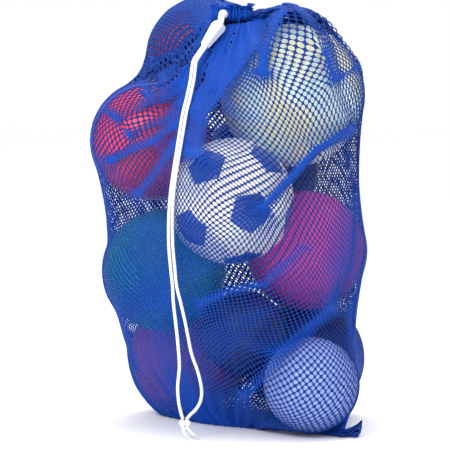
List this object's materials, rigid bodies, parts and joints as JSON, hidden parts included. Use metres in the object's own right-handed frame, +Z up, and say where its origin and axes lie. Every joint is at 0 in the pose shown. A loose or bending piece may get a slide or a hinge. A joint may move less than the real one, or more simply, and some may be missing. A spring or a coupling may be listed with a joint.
{
  "type": "mesh ball bag",
  "caption": "Knitted-net drawstring bag, standing full of sports balls and drawn shut at the top by a round white cord with a spring cord lock.",
  "frame": {"origin": "centre of the filled bag's footprint, on the floor it stands on", "axes": "+Z up towards the drawn mouth, -Y towards the side the cord hangs down, +X to the right seen from there"},
  "size_m": [0.5032, 0.514, 0.7725],
  "materials": {
    "blue_net": "matte",
    "seam_tape": "matte",
    "white_cord": "matte",
    "white_plastic": "satin",
    "spring_steel": "satin",
    "valve_rubber": "matte",
    "white_rubber": "satin",
    "soccer_cover": "satin",
    "pink_rubber": "satin",
    "maroon_rubber": "satin",
    "teal_rubber": "satin",
    "magenta_rubber": "satin",
    "purple_rubber": "satin",
    "sky_rubber": "satin",
    "navy_rubber": "satin",
    "green_rubber": "satin",
    "indigo_rubber": "satin"
  },
  "bodies": {
    "bag": {"front_panel": "blue_net", "back_panel": "blue_net", "left_side_seam": "seam_tape", "right_side_seam": "seam_tape", "bottom_seam": "seam_tape", "hem_channel": "blue_net", "mouth_frill": "blue_net", "cord_eyelet": "white_plastic", "drawcord_loop": "white_cord", "cord_left_strand": "white_cord", "cord_right_strand": "white_cord", "cord_knot": "white_cord"},
    "cord_lock": {"lock_body": "white_plastic", "lock_spring": "spring_steel"},
    "push_button": {"lock_button": "white_plastic"},
    "white_ball_body": {"white_ball": "white_rubber", "white_valve": "valve_rubber"},
    "soccer_ball_body": {"soccer_ball": "soccer_cover", "soccer_valve": "valve_rubber"},
    "pink_ball_body": {"pink_ball": "pink_rubber", "pink_valve": "valve_rubber"},
    "maroon_ball_body": {"maroon_ball": "maroon_rubber", "maroon_valve": "valve_rubber"},
    "teal_ball_body": {"teal_ball": "teal_rubber", "teal_valve": "valve_rubber"},
    "magenta_ball_body": {"magenta_ball": "magenta_rubber", "magenta_valve": "valve_rubber"},
    "purple_ball_body": {"purple_ball": "purple_rubber", "purple_valve": "valve_rubber"},
    "sky_ball_body": {"sky_ball": "sky_rubber", "sky_valve": "valve_rubber"},
    "navy_ball_body": {"navy_ball": "navy_rubber", "navy_valve": "valve_rubber"},
    "green_ball_body": {"green_ball": "green_rubber", "green_valve": "valve_rubber"},
    "indigo_ball_body": {"indigo_ball": "indigo_rubber", "indigo_valve": "valve_rubber"}
  },
  "joints": [
    {"name": "lock_slide", "type": "slide", "parent": "bag", "child": "cord_lock", "axis": [-0.5271, -0.2984, -0.7957], "range_m": [0, 0.022]},
    {"name": "button_press", "type": "slide", "parent": "cord_lock", "child": "push_button", "axis": [0.455, 0.6917, -0.5608], "range_m": [0, 0.0016], "stiffness_N_per_m": 1200, "springref_m": -0.0015, "deforming": ["lock_spring"]},
    {"name": "white_ball_turn", "type": "hinge", "parent": "bag", "child": "white_ball_body", "pos_m": [0.11498, -0.03599, 0.59192], "axis": [0.5077, 0.6092, 0.6092], "continuous": true},
    {"name": "soccer_ball_turn", "type": "hinge", "parent": "bag", "child": "soccer_ball_body", "pos_m": [0.006, -0.14397, 0.40895], "axis": [0.3192, 0.9477, 0], "continuous": true},
    {"name": "pink_ball_turn", "type": "hinge", "parent": "bag", "child": "pink_ball_body", "pos_m": [-0.13798, 0.03199, 0.50993], "axis": [-0.8639, 0.4319, 0.2592], "continuous": true},
    {"name": "maroon_ball_turn", "type": "hinge", "parent": "bag", "child": "maroon_ball_body", "pos_m": [-0.04299, 0.14697, 0.6639], "axis": [-0.3244, 0.8111, 0.4867], "continuous": true},
    {"name": "teal_ball_turn", "type": "hinge", "parent": "bag", "child": "teal_ball_body", "pos_m": [-0.11298, -0.01, 0.27797], "axis": [-0.8805, 0.4402, -0.1761], "continuous": true},
    {"name": "magenta_ball_turn", "type": "hinge", "parent": "bag", "child": "magenta_ball_body", "pos_m": [0.14098, -0.001, 0.31296], "axis": [0.8805, 0.4402, 0.1761], "continuous": true},
    {"name": "purple_ball_turn", "type": "hinge", "parent": "bag", "child": "purple_ball_body", "pos_m": [-0.07299, 0.12498, 0.11], "axis": [-0.7603, 0.6082, 0.2281], "continuous": true},
    {"name": "sky_ball_turn", "type": "hinge", "parent": "bag", "child": "sky_ball_body", "pos_m": [0.14497, -0.16297, 0.09], "axis": [0.8639, 0.2592, 0.4319], "continuous": true},
    {"name": "navy_ball_turn", "type": "hinge", "parent": "bag", "child": "navy_ball_body", "pos_m": [0.02799, -0.07999, 0.17199], "axis": [0.1925, 0.9623, 0.1925], "continuous": true},
    {"name": "green_ball_turn", "type": "hinge", "parent": "bag", "child": "green_ball_body", "pos_m": [0.05899, 0.14497, 0.45094], "axis": [0.3698, 0.9245, 0.0925], "continuous": true},
    {"name": "indigo_ball_turn", "type": "hinge", "parent": "bag", "child": "indigo_ball_body", "pos_m": [0.14098, 0.08099, 0.11], "axis": [0.7715, 0.6172, 0.1543], "continuous": true}
  ]
}
